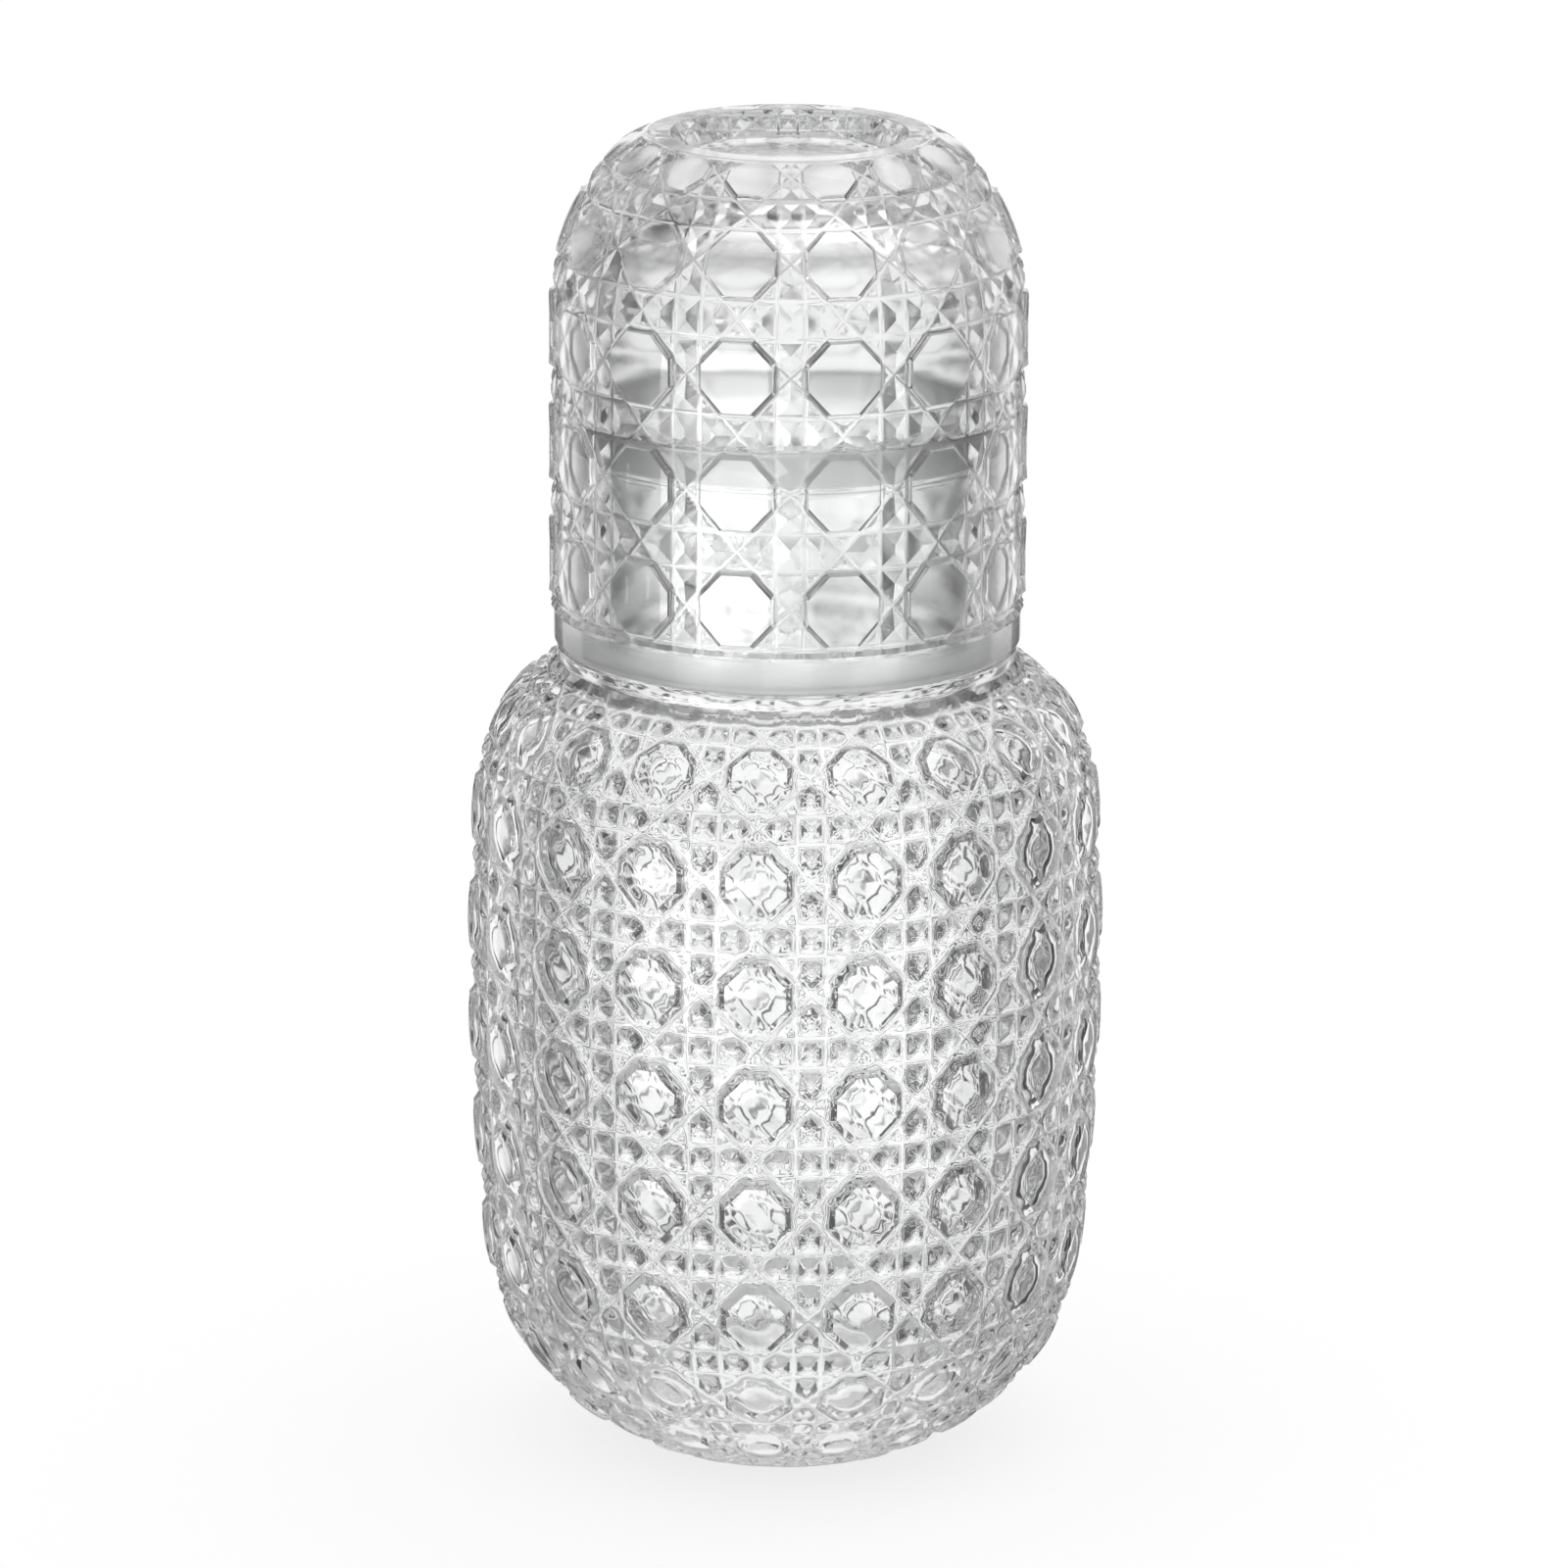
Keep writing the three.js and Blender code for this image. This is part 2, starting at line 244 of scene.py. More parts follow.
class CanePath:
    """Outline that carries the relief, measured in rows of octagons.

    The row coordinate grows by (reference radius / local radius) * length / pitch, so that a cell keeps its
    proportions where the outline draws in, and it is a whole number at the octagons' centres.
    """

    def __init__(self, points, reference_radius, pitch, row_height):
        step = np.diff(points, axis=0)
        length = np.hypot(step[:, 0], step[:, 1])
        middle_radius = (points[1:, 0] + points[:-1, 0]) / 2
        row = np.concatenate(((0,), np.cumsum(length * reference_radius / middle_radius))) / pitch
        self.points = points
        self.row = row - np.interp(row_height, points[:, 1], row)
        tangent = np.gradient(points, self.row, axis=0)
        tangent /= np.linalg.norm(tangent, axis=1, keepdims=True)
        self.normal = np.column_stack((tangent[:, 1], -tangent[:, 0]))

    def at(self, row):
        """Radius, height and outward normal where the outline reaches each row value."""
        place = [np.interp(row, self.row, self.points[:, i]) for i in (0, 1)]
        normal = [np.interp(row, self.row, self.normal[:, i]) for i in (0, 1)]
        return (*place, *normal)


def rows_between(low, high, steps):
    """Row values between two ends and the ends, at even steps of a cell counted from a whole row."""
    first = math.ceil(low * steps + ROW_END_ROOM)
    last = math.floor(high * steps - ROW_END_ROOM)
    return np.concatenate(((low,), np.arange(first, last + 1) / steps, (high,)))


def smooth_step(value, low, high):
    """0 below low, 1 above high, and 3t^2 - 2t^3 between them."""
    t = np.clip((value - low) / (high - low), 0, 1)
    return t * t * (3 - 2 * t)


def cane_distances(column, row, half_across, half_up):
    """Distances, in cells, to the nearest upright, level and slanting cut, and whether an octagon is there.

    A cell is mirrored about its octagon's centre, so the offsets from the nearest centre are taken as
    positive. The cuts are then offset = 1/2 - half strip, both ways, and the slanting one where the two
    offsets add to 1/2. Distance from a slanting cut is counted so that three diagonals of the grid are as
    far as two of its steps.
    """
    across = np.abs(column - np.round(column))
    up = np.abs(row - np.round(row))
    to_upright = 0.5 - half_across - across
    to_level = 0.5 - half_up - up
    to_slant = (0.5 - across - up) * 2 / 3
    octagon = (to_upright >= 0) & (to_level >= 0) & (to_slant >= 0)
    return np.abs(to_upright), np.abs(to_level), np.abs(to_slant), octagon


def carafe_relief(column, row):
    """Height of the soft relief, 0 in the cuts and 1 at the crests.

    With d the distance to the nearest cut, an octagon rises in a straight bevel, d / bevel up to 1, and
    carries a crown that falls off with the square of the distance from its centre. The small pieces are soft
    mounds that rise as (1 - cos(pi d / mound)) / 2 to a share of the octagons' height.
    """
    upright, level, slant, octagon = cane_distances(column, row, CARAFE_HALF_STRIP, CARAFE_HALF_STRIP)
    distance = np.minimum(np.minimum(upright, level), slant)
    pad = np.clip(distance / CARAFE_BEVEL, 0, 1)
    reach = np.hypot(column - np.round(column), row - np.round(row)) / (0.5 - CARAFE_HALF_STRIP)
    pad = pad * (1 - CARAFE_CROWN * np.clip(reach, 0, 1) ** 2)
    mound = CARAFE_MOUND_HEIGHT * (1 - np.cos(math.pi * np.clip(distance / CARAFE_MOUND, 0, 1))) / 2
    return np.where(octagon, pad, mound)


def carafe_inner_relief(column, row):
    """Hollow of the inside behind each octagon, 0 at its edge and 1 in its middle.

    It is a smooth step of the distance to the nearest cut.
    """
    upright, level, slant, octagon = cane_distances(column, row, CARAFE_HALF_STRIP, CARAFE_HALF_STRIP)
    distance = np.where(octagon, np.minimum(np.minimum(upright, level), slant), 0)
    return smooth_step(distance, *CARAFE_INNER_EDGE)


def tumbler_relief(column, row):
    """Height of the crisp relief, 0 in the cuts and 1 at the crests.

    With d the distance to the nearest cut, an octagon is a flat pad with a straight bevel, d / bevel up to 1,
    and the small pieces are points and ridges, d / point up to 1.
    """
    upright, level, slant, octagon = cane_distances(
        column, row, TUMBLER_HALF_STRIP_ACROSS, TUMBLER_HALF_STRIP_UP)
    distance = np.minimum(np.minimum(upright, level), slant)
    pad = np.clip(distance / TUMBLER_BEVEL, 0, 1)
    point = np.clip(distance / TUMBLER_POINT, 0, 1)
    return np.where(octagon, pad, point)


class CutSurface:
    """Rings of a turned outline with the relief cut into it.

    A ring's point is the outline's point moved inwards along the normal by depth * (1 - relief) * fade, and
    the depth shrinks with the outline's radius as the cells do.
    """

    def __init__(self, path, relief, columns, rows, depth, fade):
        radius, height, out_r, out_z = path.at(rows)
        scale = depth * fade(rows) * radius / path.points[:, 0].max()
        raised = relief(columns[None, :], rows[:, None])
        cut = scale[:, None] * (1 - raised)
        self.crisp = raised > CUT_BOTTOM
        self.radius = radius[:, None] - out_r[:, None] * cut
        self.height = height[:, None] - out_z[:, None] * cut
        self.split = self.best_split(cut, relief, columns, rows, scale)

    @staticmethod
    def best_split(cut, relief, columns, rows, scale):
        """Whether a face's first diagonal is nearer than its second to the true height at its middle."""
        next_column = np.append(columns[1:], columns[0] + round(columns[-1] - columns[0] + 0.5))
        middle_column = (columns + next_column) / 2
        middle_row = (rows[1:] + rows[:-1]) / 2
        middle_scale = (scale[1:] + scale[:-1]) / 2
        middle = middle_scale[:, None] * (1 - relief(middle_column[None, :], middle_row[:, None]))
        beside = np.roll(cut, -1, axis=1)
        first = np.abs((cut[:-1] + beside[1:]) / 2 - middle)
        second = np.abs((beside[:-1] + cut[1:]) / 2 - middle)
        return first <= second


def plain_rings(points, columns):
    """Rings of a turned path with no relief: the same radius and height all round."""
    return (np.repeat(points[:, :1], columns, axis=1), np.repeat(points[:, 1:], columns, axis=1))


class TurnedGrid:
    """Rings of points: ring k, column j lies at radius * (cosine, sine) of the column's angle.

    Each face is cut into two triangles along the diagonal that split names. Crisp marks the points whose
    edges may stay sharp, and satin holds how dull each ring's surface is.
    """

    def __init__(self, radius, height, angles, satin, split=None, crisp=None):
        self.rings, self.columns = radius.shape
        points = np.stack((radius * np.cos(angles), radius * np.sin(angles), height), axis=-1)
        self.points = points.reshape(-1, 3)
        self.satin = np.repeat(satin, self.columns)
        self.split = np.ones((self.rings - 1, self.columns), bool) if split is None else split
        self.crisp = np.zeros(radius.size, bool) if crisp is None else crisp.ravel()

    def triangles(self):
        """Two triangles for each face of the grid, which closes on itself round the axis."""
        ring, column = np.meshgrid(np.arange(self.rings - 1), np.arange(self.columns), indexing="ij")
        a = ring * self.columns + column
        b = ring * self.columns + (column + 1) % self.columns
        c = b + self.columns
        d = a + self.columns
        pick = self.split[..., None]
        one = np.where(pick, np.stack((a, b, c), -1), np.stack((a, b, d), -1))
        two = np.where(pick, np.stack((a, c, d), -1), np.stack((b, c, d), -1))
        return np.concatenate((one.reshape(-1, 3), two.reshape(-1, 3)))


def halving_ring(first, second, columns):
    """Triangles between a ring and one with half as many columns: three for each of its columns."""
    column = np.arange(columns // 2)
    left = first + 2 * column
    middle = left + 1
    right = first + (2 * column + 2) % columns
    near = second + column
    far = second + (column + 1) % (columns // 2)
    return np.concatenate((
        np.column_stack((left, middle, near)),
        np.column_stack((middle, far, near)),
        np.column_stack((middle, right, far)),
    ))


def turned_mesh(name, grids, sharp_angle):
    """Closed turned mesh of one grid, or of two where the second has half as many columns.

    The first and last rings are closed by a fan to a point on the axis at their own height. Edges that turn
    by more than the sharp angle and have a crisp point stay sharp.
    """
    first, last = grids[0], grids[-1]
    ends = np.array(((0, 0, first.points[0, 2]), (0, 0, last.points[-1, 2])))
    points = np.concatenate([grid.points for grid in grids] + [ends])
    low_tip, high_tip = len(points) - 2, len(points) - 1
    faces = [first.triangles()]
    if last is not first:
        begin = len(first.points)
        faces.append(halving_ring(begin - first.columns, begin, first.columns))
        faces.append(last.triangles() + begin)
    low = np.arange(first.columns)
    high = low_tip - last.columns + np.arange(last.columns)
    faces.append(np.column_stack((np.full(first.columns, low_tip), np.roll(low, -1), low)))
    faces.append(np.column_stack((np.full(last.columns, high_tip), high, np.roll(high, -1))))

    mesh = bpy.data.meshes.new(name)
    mesh.from_pydata(points * MM, [], np.concatenate(faces))
    mesh.shade_smooth()
    mesh.set_sharp_from_angle(angle=sharp_angle)
    edges = np.empty(len(mesh.edges) * 2, np.int32)
    mesh.edges.foreach_get("vertices", edges)
    sharp = np.empty(len(mesh.edges), bool)
    mesh.attributes["sharp_edge"].data.foreach_get("value", sharp)
    crisp = np.concatenate([grid.crisp for grid in grids] + [np.zeros(2, bool)])
    sharp &= crisp[edges[0::2]] | crisp[edges[1::2]]
    mesh.attributes["sharp_edge"].data.foreach_set("value", sharp)
    satin = np.concatenate([grid.satin for grid in grids] + [(first.satin[0], last.satin[-1])])
    mesh.attributes.new("satin", "FLOAT", "POINT").data.foreach_set("value", satin.astype(np.float32))
    return mesh


def add_piece(mesh, body, node, material):
    """Puts a finished mesh into the scene in place of its solid."""
    piece = bpy.data.objects.new(mesh.name, mesh)
    bpy.context.scene.collection.objects.link(piece)
    mesh.materials.append(material)
    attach(piece, body)
    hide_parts(node)


def carafe_outside():
    """Outside of the carafe from the base's edge to the collar's foot.

    A bottom arc, a barrel wall and a shoulder arc follow each other, each touching the next.
    """
    base_edge = np.array((BASE_RADIUS, 0.0))
    collar_foot = np.array((COLLAR_RADIUS, SEAT_HEIGHT - COLLAR_RISE))
    wall = np.array((BODY_RADIUS - WALL_ARC_RADIUS, BELLY_HEIGHT))
    bottom = corner_centre(wall, BOTTOM_ARC_RADIUS, base_edge, 1)
    shoulder = corner_centre(wall, SHOULDER_ARC_RADIUS, collar_foot, -1)
    wall_start = angle_from(wall, bottom)
    wall_end = angle_from(wall, shoulder)
    return np.concatenate((
        base_edge[None, :],
        arc(bottom, BOTTOM_ARC_RADIUS, angle_from(bottom, base_edge), wall_start, PATH_STEPS)[1:],
        arc(wall, WALL_ARC_RADIUS, wall_start, wall_end, PATH_STEPS)[1:],
        arc(shoulder, SHOULDER_ARC_RADIUS, wall_end, angle_from(shoulder, collar_foot), PATH_STEPS)[1:],
    ))


def make_carafe(material):
    """Carafe: cut outside, plain collar, neck and lip, and an inside that follows the octagons softly."""
    path = CanePath(carafe_outside(), BODY_RADIUS, CARAFE_ROW_PITCH, CARAFE_ROW_HEIGHT)
    columns = np.arange(CARAFE_COLUMNS * CARAFE_STEPS) / CARAFE_STEPS
    angles = CARAFE_COLUMN_ANGLE + columns * 2 * math.pi / CARAFE_COLUMNS
    low, high = path.row[0], path.row[-1]
    coarse_step = CARAFE_COARSE_MULTIPLE / CARAFE_STEPS
    fine_start = round((low + CARAFE_COARSE_ROWS) / coarse_step) * coarse_step

    def fade(row):
        """Share of the full cut: rises above the base's edge and falls below the collar."""
        return smooth_step(row, low, low + CARAFE_FADE_IN) * smooth_step(-row, -high, CARAFE_FADE_OUT - high)

    rows = np.concatenate((
        rows_between(low, fine_start, CARAFE_STEPS // 2)[:-1],
        rows_between(fine_start, high, CARAFE_STEPS),
    ))
    outside = CutSurface(path, carafe_relief, columns, rows, CARAFE_DEPTH, fade)

    inner_rows = np.concatenate((
        rows_between(low, fine_start, CARAFE_STEPS // 4)[:-1],
        rows_between(fine_start, high, CARAFE_STEPS // 2),
    ))[::-1]
    radius, height, out_r, out_z = path.at(inner_rows)
    above_floor = height - out_z * BODY_WALL > FLOOR_THICKNESS + INNER_FLOOR_ROOM
    kept = above_floor & (radius - out_r * BODY_WALL > BORE_RADIUS + INNER_BORE_ROOM)
    inner_rows, radius, height, out_r, out_z = (
        values[kept][:, None] for values in (inner_rows, radius, height, out_r, out_z))
    fade_in, fade_full = CARAFE_INNER_FADE_IN
    hollow = CARAFE_INNER_DEPTH * smooth_step(inner_rows, low + fade_in, low + fade_full)
    hollow = hollow * smooth_step(-inner_rows, -inner_rows[0], CARAFE_INNER_FADE_OUT - inner_rows[0])
    wall = BODY_WALL - hollow * carafe_inner_relief(columns[None, ::2], inner_rows)
    inside_radius = radius - out_r * wall
    inside_height = height - out_z * wall

    seat = SEAT_HEIGHT - SEAT_GAP
    lip_foot = LIP_TOP - LIP_HEIGHT
    turn_radius, turn_height = inside_radius[0, 0], inside_height[0, 0]
    outer_neck = rounded((
        (COLLAR_RADIUS, SEAT_HEIGHT - COLLAR_RISE, 0),
        (COLLAR_RADIUS, seat, COLLAR_EDGE),
        (NECK_RADIUS, seat, 0),
    ), NECK_EDGE_STEPS)[1:]
    neck = rounded((
        (COLLAR_RADIUS, seat, 0),
        (NECK_RADIUS, seat, SEAT_FILLET),
        (NECK_RADIUS, lip_foot - LIP_STEP, LIP_UNDERCUT),
        (LIP_RADIUS, lip_foot, LIP_LOWER_EDGE),
        (LIP_RADIUS, LIP_TOP, LIP_TOP_EDGE),
        (BORE_RADIUS, LIP_TOP, LIP_TOP_EDGE),
        (BORE_RADIUS, turn_height + BORE_TURN_RISE, BORE_FILLET),
        (turn_radius, turn_height, 0),
    ), NECK_EDGE_STEPS)[1:-1]
    floor_edge = inside_radius[-1, 0]
    floor = np.array((
        (floor_edge - FLOOR_EDGE_INSET, FLOOR_THICKNESS),
        (floor_edge * DISC_RING, FLOOR_THICKNESS),
    ))
    base = np.array(((BASE_RADIUS * DISC_RING, 0.0), (BASE_RADIUS - BASE_EDGE_INSET, 0.0)))

    count = len(columns)
    shell = [plain_rings(base, count), (outside.radius, outside.height), plain_rings(outer_neck[:-1], count)]
    shell_radius, shell_height = (np.concatenate([part[i] for part in shell]) for i in (0, 1))
    cut = slice(len(base), len(base) + len(rows))
    split = np.ones((len(shell_radius) - 1, count), bool)
    split[cut.start:cut.stop - 1] = outside.split
    crisp = np.zeros(shell_radius.shape, bool)
    crisp[cut] = outside.crisp
    outer = TurnedGrid(shell_radius, shell_height, angles, np.zeros(len(shell_radius)), split, crisp)

    half = count // 2
    lining = [plain_rings(neck, half), (inside_radius, inside_height), plain_rings(floor, half)]
    lining_radius, lining_height = (np.concatenate([part[i] for part in lining]) for i in (0, 1))
    on_lip = (neck[:, 0] > LIP_RADIUS - LIP_FACE_DEPTH) & (neck[:, 1] > lip_foot)
    in_bore = np.arange(len(neck)) > np.flatnonzero(on_lip)[-1]
    satin = np.full(len(lining_radius), CARAFE_INNER_SATIN)
    satin[:len(neck)] = np.where(on_lip, LIP_SATIN, np.where(in_bore, CARAFE_INNER_SATIN, 0.0))
    inner = TurnedGrid(lining_radius, lining_height, angles[::2], satin)

    mesh = turned_mesh("carafe_glass", (outer, inner), CARAFE_SHARP_ANGLE)
    add_piece(mesh, "carafe", "carafe", material)


def make_tumbler(material):
    """Tumbler, mouth down: plain rim band, cut wall and dome, foot ring with its dish, smooth inside.

    The cut outline is an upright wall, the dome's arc, a smaller arc inside it that touches both the dome and
    the slope below the foot ring, and the start of that slope.
    """
    top = SEAT_HEIGHT + TUMBLER_HEIGHT
    dome_end = np.array((DOME_TOP_RADIUS, top - FOOT_RISE))
    dome_x = TUMBLER_RADIUS - DOME_ARC_RADIUS
    dome_drop = math.sqrt(DOME_ARC_RADIUS ** 2 - (DOME_TOP_RADIUS - dome_x) ** 2)
    dome = np.array((dome_x, dome_end[1] - dome_drop))
    foot_edge = np.array((FOOT_OUTER_RADIUS, top))
    slope_run = DOME_TOP_RADIUS - FOOT_OUTER_RADIUS
    slope_angle = math.atan2(slope_run, FOOT_RISE)
    slope_reach = (dome_end - dome) @ (math.cos(slope_angle), math.sin(slope_angle))
    blend_reach = DOME_ARC_RADIUS - FOOT_BLEND_RADIUS
    blend_start = slope_angle - math.acos((slope_reach - FOOT_BLEND_RADIUS) / blend_reach)
    blend = dome + blend_reach * np.array((math.cos(blend_start), math.sin(blend_start)))
    relief_end = foot_edge + (dome_end - foot_edge) * FOOT_MARGIN / slope_run
    band_top = SEAT_HEIGHT + RIM_BAND_HEIGHT
    cut_start = band_top + RIM_INSET
    wall_height = np.linspace(cut_start, dome[1], PATH_STEPS, endpoint=False)
    wall = np.column_stack((np.full(PATH_STEPS, TUMBLER_RADIUS), wall_height))
    outline = np.concatenate((
        wall,
        arc(dome, DOME_ARC_RADIUS, 0, blend_start, PATH_STEPS),
        arc(blend, FOOT_BLEND_RADIUS, blend_start, slope_angle, BLEND_STEPS)[1:],
        relief_end[None, :],
    ))
    path = CanePath(outline, TUMBLER_RADIUS, TUMBLER_ROW_PITCH, TUMBLER_ROW_HEIGHT)

    columns = np.arange(TUMBLER_COLUMNS * TUMBLER_STEPS) / TUMBLER_STEPS
    angles = TUMBLER_COLUMN_ANGLE + columns * 2 * math.pi / TUMBLER_COLUMNS
    low, high = path.row[0], path.row[-1]

    def fade(row):
        """Share of the full cut: starts above the rim band and falls at the foot ring."""
        start = smooth_step(row, low - TUMBLER_FADE_IN, low + TUMBLER_FADE_IN)
        return start * smooth_step(-row, -high, TUMBLER_FADE_OUT - high)

    rows = rows_between(low, high, TUMBLER_STEPS)
    outside = CutSurface(path, tumbler_relief, columns, rows, TUMBLER_DEPTH, fade)

    dish_floor = top - DISH_DEPTH
    ceiling = dish_floor - DISH_GLASS
    corner_height = ceiling - INNER_CORNER_RADIUS
    corner_radius = MOUTH_RADIUS - (corner_height - SEAT_HEIGHT) * INNER_DRAFT
    inner_corner = arc((corner_radius - INNER_CORNER_RADIUS, corner_height), INNER_CORNER_RADIUS,
                       math.pi / 2, 0, INNER_CORNER_STEPS)
    inner_band = np.array(((MOUTH_RADIUS - RIM_BAND_HEIGHT * INNER_DRAFT, band_top),))
    rim = rounded((
        (*inner_band[0], 0),
        (MOUTH_RADIUS, SEAT_HEIGHT, RIM_INNER_EDGE),
        (RIM_RADIUS, SEAT_HEIGHT, RIM_OUTER_EDGE),
        (RIM_RADIUS, band_top, BAND_EDGE),
        (TUMBLER_RADIUS, cut_start, 0),
    ), RIM_EDGE_STEPS)
    foot = rounded((
        (*relief_end, 0),
        (*foot_edge, FOOT_OUTER_EDGE),
        (FOOT_INNER_RADIUS, top, FOOT_INNER_EDGE),
        (DISH_FLOOR_RADIUS, dish_floor, DISH_EDGE),
        (DISH_FLOOR_RADIUS * DISC_RING, dish_floor, 0),
    ), RIM_EDGE_STEPS)
    count = len(columns)
    before = np.concatenate((inner_corner, inner_band, rim[1:-1]))
    parts = [
        plain_rings(before, count),
        (outside.radius, outside.height),
        plain_rings(foot[1:], count),
    ]
    radius = np.concatenate([part[0] for part in parts])
    height = np.concatenate([part[1] for part in parts])
    cut = slice(len(before), len(before) + len(rows))
    split = np.ones((len(radius) - 1, count), bool)
    split[cut.start:cut.stop - 1] = outside.split
    crisp = np.zeros(radius.shape, bool)
    crisp[cut] = outside.crisp
    satin = np.zeros(len(radius))
    rim_start = len(inner_corner) + len(inner_band)
    satin[:rim_start] = TUMBLER_INNER_SATIN
    satin[rim_start:rim_start + RIM_SATIN_RINGS] = RIM_SATIN
    grid = TurnedGrid(radius, height, angles, satin, split, crisp)
    mesh = turned_mesh("tumbler_glass", (grid,), TUMBLER_SHARP_ANGLE)
    add_piece(mesh, "tumbler", "tumbler", material)


# Glass: refraction, clean and smeared tint, and the noise values between which a smear sets in
GLASS_IOR = 1.51
GLASS_TINT = (0.992, 0.995, 0.995)
SMEARED_TINT = (0.98, 0.984, 0.984)
SMEAR_EDGE = (0.5, 0.75)
GRAIN_DETAIL = 1.0
WAVE_DETAIL = 1.5
SMEAR_DETAIL = 3.0


def link(tree, output, target):
    """Joins an output socket to an input socket."""
    tree.links.new(output, target)


def math_node(tree, operation, *values):
    """Math node whose inputs are numbers or sockets; gives its output."""
    node = tree.nodes.new("ShaderNodeMath")
    node.operation = operation
    for socket, value in zip(node.inputs, values):
        if isinstance(value, (int, float)):
            socket.default_value = value
        else:
            link(tree, value, socket)
    return node.outputs["Value"]


def range_node(tree, value, low, high, start, end):
    """Smooth Map Range node: start below low, end above high; gives its output."""
    node = tree.nodes.new("ShaderNodeMapRange")
    node.interpolation_type = "SMOOTHSTEP"
    link(tree, value, node.inputs["Value"])
    for name, number in (("From Min", low), ("From Max", high), ("To Min", start), ("To Max", end)):
        node.inputs[name].default_value = number
    return node.outputs["Result"]


def moulded_skin_group():
    """Shared effect of glass that cooled in a mould: slow waves, a fine grain and faint smears."""
    group = bpy.data.node_groups.new("moulded_skin", "ShaderNodeTree")
    sockets = group.interface
    sockets.new_socket("Position", in_out="INPUT", socket_type="NodeSocketVector")
    for name in ("Satin", "Wave Scale", "Grain Scale", "Grain Share", "Smear Scale", "Clean", "Smeared"):
        sockets.new_socket(name, in_out="INPUT", socket_type="NodeSocketFloat")
    for name in ("Height", "Roughness", "Smear"):
        sockets.new_socket(name, in_out="OUTPUT", socket_type="NodeSocketFloat")
    start = group.nodes.new("NodeGroupInput")
    end = group.nodes.new("NodeGroupOutput")

    def noise(scale_name, detail):
        """Noise texture at one of the group's scales."""
        node = group.nodes.new("ShaderNodeTexNoise")
        node.inputs["Detail"].default_value = detail
        link(group, start.outputs["Position"], node.inputs["Vector"])
        link(group, start.outputs[scale_name], node.inputs["Scale"])
        return node.outputs["Fac"]

    grain = math_node(group, "MULTIPLY", noise("Grain Scale", GRAIN_DETAIL), start.outputs["Grain Share"])
    link(group, math_node(group, "ADD", noise("Wave Scale", WAVE_DETAIL), grain), end.inputs["Height"])
    smear = range_node(group, noise("Smear Scale", SMEAR_DETAIL), *SMEAR_EDGE, 0.0, 1.0)
    link(group, smear, end.inputs["Smear"])
    spread = math_node(group, "SUBTRACT", start.outputs["Smeared"], start.outputs["Clean"])
    worn = math_node(group, "MULTIPLY_ADD", smear, spread, start.outputs["Clean"])
    link(group, math_node(group, "ADD", worn, start.outputs["Satin"]), end.inputs["Roughness"])
    return group


def glass_material(name, skin, skin_values, bump_height):
    """Clear glass: transmission with a faint tint, the mould's skin as bump, and smears that dull it."""
    material = bpy.data.materials.new(name)
    material.use_nodes = True
    tree = material.node_tree
    shader = tree.nodes["Principled BSDF"]
    shader.distribution = "GGX"
    shader.inputs["Transmission Weight"].default_value = 1.0
    shader.inputs["Metallic"].default_value = 0.0
    shader.inputs["IOR"].default_value = GLASS_IOR

    place = tree.nodes.new("ShaderNodeTexCoord")
    surface = tree.nodes.new("ShaderNodeGroup")
    surface.node_tree = skin
    link(tree, place.outputs["Object"], surface.inputs["Position"])
    satin = tree.nodes.new("ShaderNodeAttribute")
    satin.attribute_name = "satin"
    link(tree, satin.outputs["Fac"], surface.inputs["Satin"])
    for socket_name, value in skin_values.items():
        surface.inputs[socket_name].default_value = value
    link(tree, surface.outputs["Roughness"], shader.inputs["Roughness"])

    colour = tree.nodes.new("ShaderNodeMix")
    colour.data_type = "RGBA"
    colour.inputs["A"].default_value = (*GLASS_TINT, 1)
    colour.inputs["B"].default_value = (*SMEARED_TINT, 1)
    link(tree, surface.outputs["Smear"], colour.inputs["Factor"])
    link(tree, colour.outputs["Result"], shader.inputs["Base Color"])

    bump = tree.nodes.new("ShaderNodeBump")
    bump.inputs["Strength"].default_value = 1.0
    bump.inputs["Distance"].default_value = bump_height
    link(tree, surface.outputs["Height"], bump.inputs["Height"])
    link(tree, bump.outputs["Normal"], shader.inputs["Normal"])
    return material


def shiny_ray(tree):
    """1 for rays that come from a shiny or clear surface, 0 for the camera's own and matt surfaces' rays."""
    path = tree.nodes.new("ShaderNodeLightPath")
    return math_node(tree, "MAXIMUM", path.outputs["Is Glossy Ray"], path.outputs["Is Transmission Ray"])


# Floor, in metres except for its drop in millimetres, and light
FLOOR_SIDES = 96
FLOOR_RADIUS = 4.0
FLOOR_FRONT = 0.4
FLOOR_DROP = 0.2
FLOOR_GLOW = 0.78
FLOOR_COLOUR = 0.22

# Studio that the glass shows: edges are heights or sideways shares of a direction, and 1 is white
GROUND_EDGE = (-0.5, -0.32)
GROUND_LEVEL = 0.5
BELOW_EDGE = (-0.85, -0.65)
BELOW_LEVEL = 0.9
CEILING_EDGE = (0.3, 0.5)
CEILING_LEVEL = 0.3
ROOF_LIGHT_EDGE = (0.6, 0.8)
CARD_COUNT = 8
CARD_EDGE = (0.25, 0.55)
CARD_LEVEL = 0.1
FLAG_EDGE = (0.88, 0.94)
FLAG_LEVEL = 0.0
LAMP_TARGET = Vector((0, 0, 0.1))


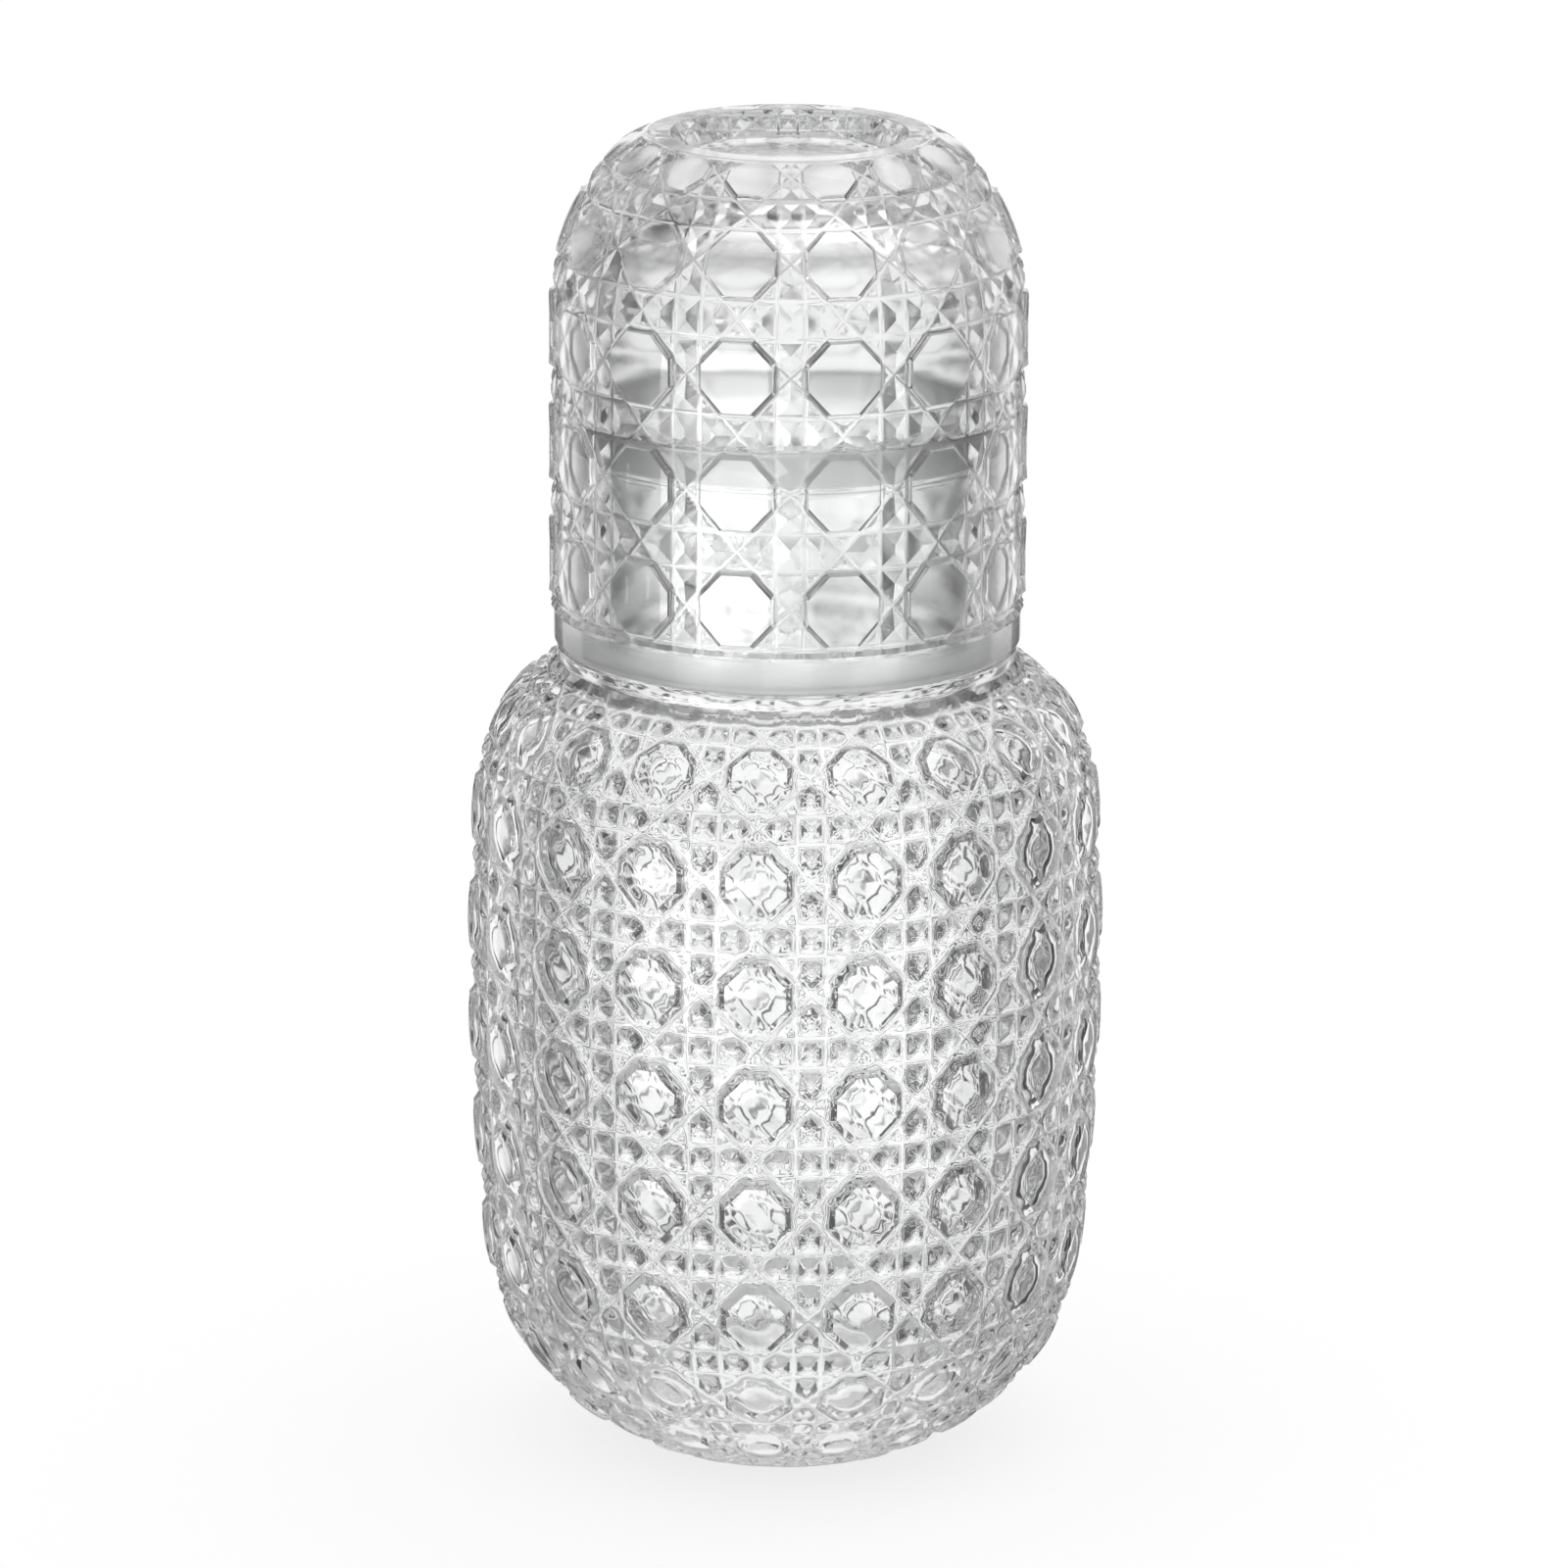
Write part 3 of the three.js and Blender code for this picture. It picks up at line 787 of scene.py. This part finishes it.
def make_floor():
    """Round pale floor that ends a short way in front of the object.

    Its rim is the radius times (cosine, sine) of even angles, closed by a fan.
    """
    order = np.arange(FLOOR_SIDES)
    angle = order * 2 * math.pi / FLOOR_SIDES
    rim = np.column_stack((FLOOR_RADIUS * np.cos(angle), FLOOR_RADIUS * np.sin(angle), np.zeros(FLOOR_SIDES)))
    points = np.concatenate((rim, np.zeros((1, 3)))) + (0, FLOOR_RADIUS - FLOOR_FRONT, -FLOOR_DROP * MM)
    centre = np.full(FLOOR_SIDES, FLOOR_SIDES)
    mesh = bpy.data.meshes.new("floor")
    mesh.from_pydata(points, [], np.column_stack((centre, order, (order + 1) % FLOOR_SIDES)))
    floor = bpy.data.objects.new("floor", mesh)
    bpy.context.scene.collection.objects.link(floor)

    material = bpy.data.materials.new("pale_floor")
    material.use_nodes = True
    tree = material.node_tree
    shader = tree.nodes["Principled BSDF"]
    shader.inputs["Base Color"].default_value = (FLOOR_COLOUR, FLOOR_COLOUR, FLOOR_COLOUR, 1)
    shader.inputs["Roughness"].default_value = 1.0
    shader.inputs["Specular IOR Level"].default_value = 0.0
    shader.inputs["Emission Color"].default_value = (1, 1, 1, 1)
    path = tree.nodes.new("ShaderNodeLightPath")
    glow = math_node(tree, "MULTIPLY", path.outputs["Is Camera Ray"], FLOOR_GLOW)
    link(tree, glow, shader.inputs["Emission Strength"])
    mesh.materials.append(material)
    floor.visible_glossy = False
    floor.visible_transmission = False


def make_world():
    """Studio round the object, white to the camera and to matt surfaces.

    What the glass shows of it goes by direction alone: a white wall all round at eye level that dims towards
    the ground and the ceiling, a roof light, the pale floor straight below, dark cards at even angles, so
    that the cuts draw grey lines from every side, and a dark flag at left and right.
    """
    world = bpy.data.worlds.new("studio")
    bpy.context.scene.world = world
    world.use_nodes = True
    tree = world.node_tree
    direction = tree.nodes.new("ShaderNodeTexCoord")
    axes = tree.nodes.new("ShaderNodeSeparateXYZ")
    link(tree, direction.outputs["Generated"], axes.inputs["Vector"])
    rise = axes.outputs["Z"]
    bearing = math_node(tree, "ARCTAN2", axes.outputs["X"], axes.outputs["Y"])
    wave = math_node(tree, "COSINE", math_node(tree, "MULTIPLY", bearing, float(CARD_COUNT)))
    share = math_node(tree, "MULTIPLY_ADD", wave, 0.5, 0.5)
    cards = range_node(tree, share, *CARD_EDGE, CARD_LEVEL, 1.0)
    ground = range_node(tree, rise, *GROUND_EDGE, GROUND_LEVEL, 1.0)
    ceiling = range_node(tree, rise, *CEILING_EDGE, 1.0, CEILING_LEVEL)
    sideways = math_node(tree, "ABSOLUTE", axes.outputs["X"])
    flags = range_node(tree, sideways, *FLAG_EDGE, 1.0, FLAG_LEVEL)
    sides = math_node(tree, "MULTIPLY", cards, flags)
    wall = math_node(tree, "MULTIPLY", math_node(tree, "MULTIPLY", ground, ceiling), sides)
    roof_light = range_node(tree, rise, *ROOF_LIGHT_EDGE, 0.0, 1.0)
    below = range_node(tree, rise, *BELOW_EDGE, BELOW_LEVEL, 0.0)
    ends = math_node(tree, "MAXIMUM", roof_light, below)
    studio = math_node(tree, "MAXIMUM", wall, ends)
    below_white = math_node(tree, "SUBTRACT", studio, 1.0)
    level = math_node(tree, "MULTIPLY_ADD", below_white, shiny_ray(tree), 1.0)
    link(tree, level, tree.nodes["Background"].inputs["Color"])


def add_lamp(name, place, width, height, power):
    """Soft lamp that faces the middle of the object."""
    lamp = bpy.data.lights.new(name, "AREA")
    lamp.shape = "RECTANGLE"
    lamp.size = width
    lamp.size_y = height
    lamp.energy = power
    holder = bpy.data.objects.new(name, lamp)
    aim = Vector(place) - LAMP_TARGET
    holder.matrix_world = Matrix.Translation(place) @ aim.to_track_quat("Z", "Y").to_matrix().to_4x4()
    bpy.context.scene.collection.objects.link(holder)


# Camera: where the photograph's lens stood, and where its picture shows the aim point
IMAGE_SIZE = 1600
SENSOR_WIDTH = 36.0
FOCAL_PIXELS = 9524.0
AIM_POINT = Vector((0, 0, 0.100))
AIM_PIXEL = (802.5, 833.0)
CAMERA_DISTANCE = 1.460
CAMERA_PITCH = math.radians(15.77)
CAMERA_ROLL = math.radians(0.285)
NEAREST_SHOWN = 0.05
FARTHEST_SHOWN = 50.0


def make_camera():
    """Camera on the -Y side that looks along +Y and down, turned so that the aim point falls on its pixel."""
    camera = bpy.data.cameras.new("camera")
    camera.sensor_width = SENSOR_WIDTH
    camera.lens = FOCAL_PIXELS / IMAGE_SIZE * SENSOR_WIDTH
    camera.clip_start = NEAREST_SHOWN
    camera.clip_end = FARTHEST_SHOWN
    holder = bpy.data.objects.new("camera", camera)
    back = Vector((0, -math.cos(CAMERA_PITCH), math.sin(CAMERA_PITCH)))
    lift = math.atan((AIM_PIXEL[1] - IMAGE_SIZE / 2) / FOCAL_PIXELS)
    swing = math.atan((AIM_PIXEL[0] - IMAGE_SIZE / 2) / FOCAL_PIXELS)
    tilt = Matrix.Rotation(math.pi / 2 - CAMERA_PITCH + lift, 4, "X")
    turn = Matrix.Rotation(swing, 4, "Z")
    roll = Matrix.Rotation(CAMERA_ROLL, 4, "Z")
    holder.matrix_world = Matrix.Translation(AIM_POINT + back * CAMERA_DISTANCE) @ turn @ tilt @ roll
    bpy.context.scene.collection.objects.link(holder)
    bpy.context.scene.camera = holder


make_camera()
skin = moulded_skin_group()
carafe_material = glass_material(
    "carafe_glass", skin,
    {"Wave Scale": 70.0, "Grain Scale": 420.0, "Grain Share": 0.08, "Smear Scale": 45.0,
     "Clean": 0.0, "Smeared": 0.03},
    bump_height=0.0001)
tumbler_material = glass_material(
    "tumbler_glass", skin,
    {"Wave Scale": 90.0, "Grain Scale": 500.0, "Grain Share": 0.05, "Smear Scale": 55.0,
     "Clean": 0.0, "Smeared": 0.02},
    bump_height=0.00006)
make_carafe(carafe_material)
make_tumbler(tumbler_material)
make_floor()
make_world()
add_lamp("key_lamp", (-0.65, -0.89, -0.11), width=1.1, height=0.18, power=2.8)
add_lamp("fill_lamp", (0.6, 0.9, 1.4), width=1.6, height=1.6, power=4.0)

scene = bpy.context.scene
scene.view_settings.view_transform = "Standard"
# Light crosses many faces of cut glass
scene.cycles.max_bounces = 32
scene.cycles.transmission_bounces = 32
scene.cycles.glossy_bounces = 16
